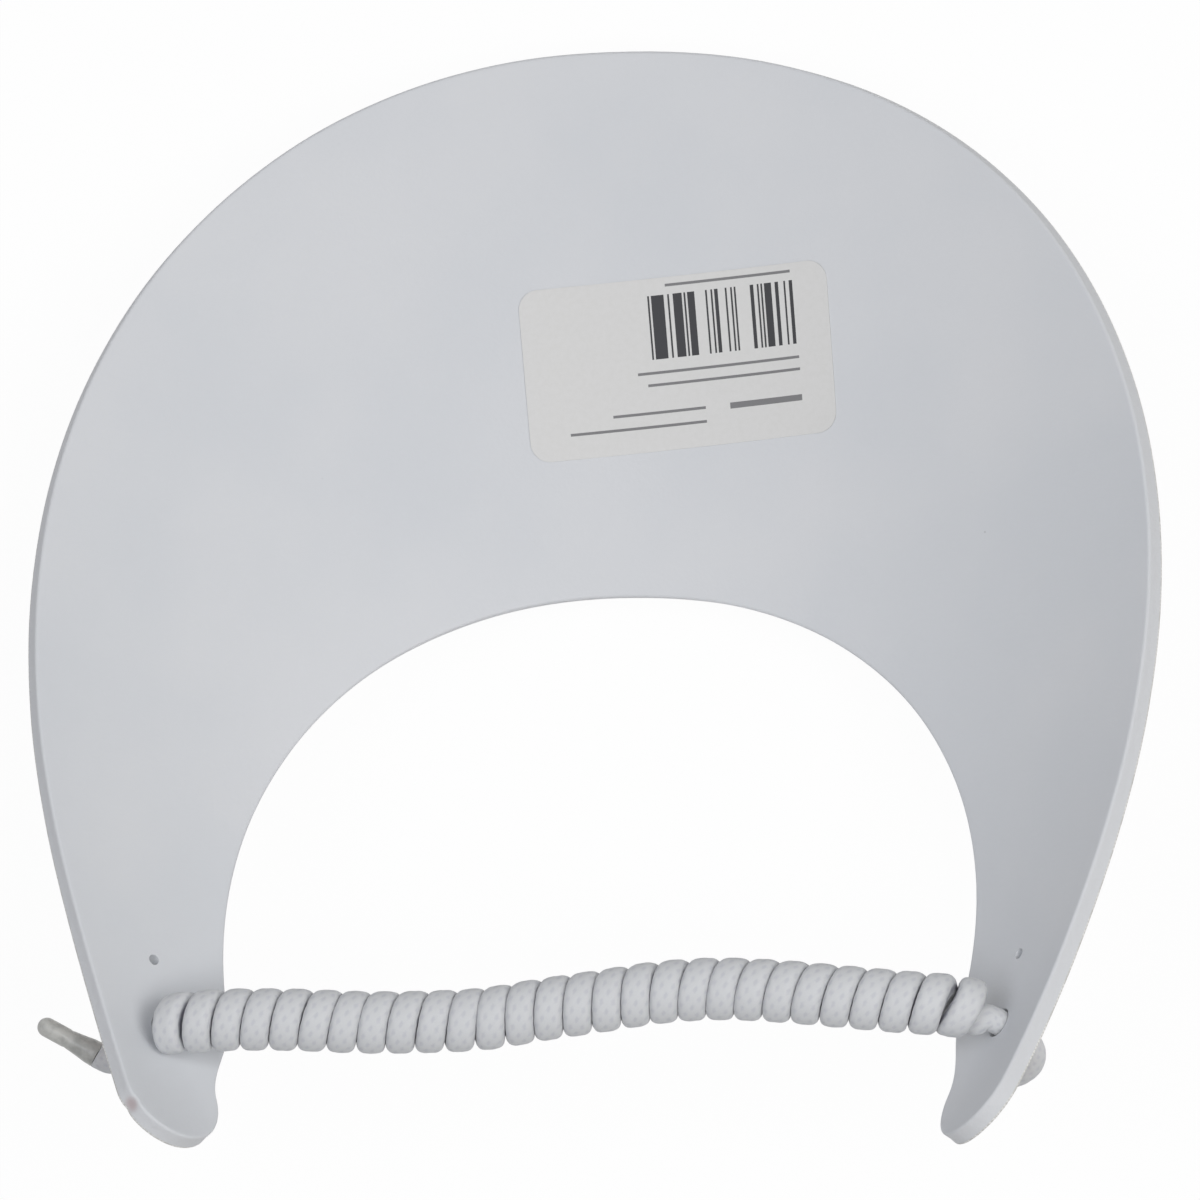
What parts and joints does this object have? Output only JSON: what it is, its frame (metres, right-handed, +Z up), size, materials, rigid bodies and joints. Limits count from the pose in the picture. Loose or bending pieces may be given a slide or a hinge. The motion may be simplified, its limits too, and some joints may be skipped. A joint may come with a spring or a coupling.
{
  "type": "sun visor",
  "caption": "Foam sun visor with a bent crescent brim, two arms and a coiled elastic lace that closes it behind the head.",
  "frame": {"origin": "under the middle of the visor without its lace, on the surface it lies on", "axes": "+Y towards the front of the brim, +X to the right seen from above, +Z up, out of the hollow underside"},
  "size_m": [0.2048, 0.1974, 0.0648],
  "materials": {
    "foam": "white EVA foam, matt, with a fine closed-cell skin",
    "cover": "thin white woven cloth laminated to the foam, with a plain red line near its edge",
    "label_paper": "matt white label paper with plain dark bars and rules, and no lettering",
    "lace": "white braided elastic cord",
    "aglet": "translucent grey moulded plastic"
  },
  "bodies": {
    "left_side": {"foam_left": "foam", "cover_left": "cover", "lace_coil": "lace", "lace_tail_left": "lace", "aglet_left": "aglet"},
    "right_side": {"foam_right": "foam", "cover_right": "cover", "label": "label_paper", "lace_tail_right": "lace", "aglet_right": "aglet"}
  },
  "joints": [
    {"name": "flex", "type": "hinge", "parent": "left_side", "child": "right_side", "pos_m": [0, 0, 0], "axis": [0, 1, 0], "range_deg": [0, 16], "stiffness_Nm_per_rad": 0.25, "deforming": ["lace_coil"]}
  ]
}
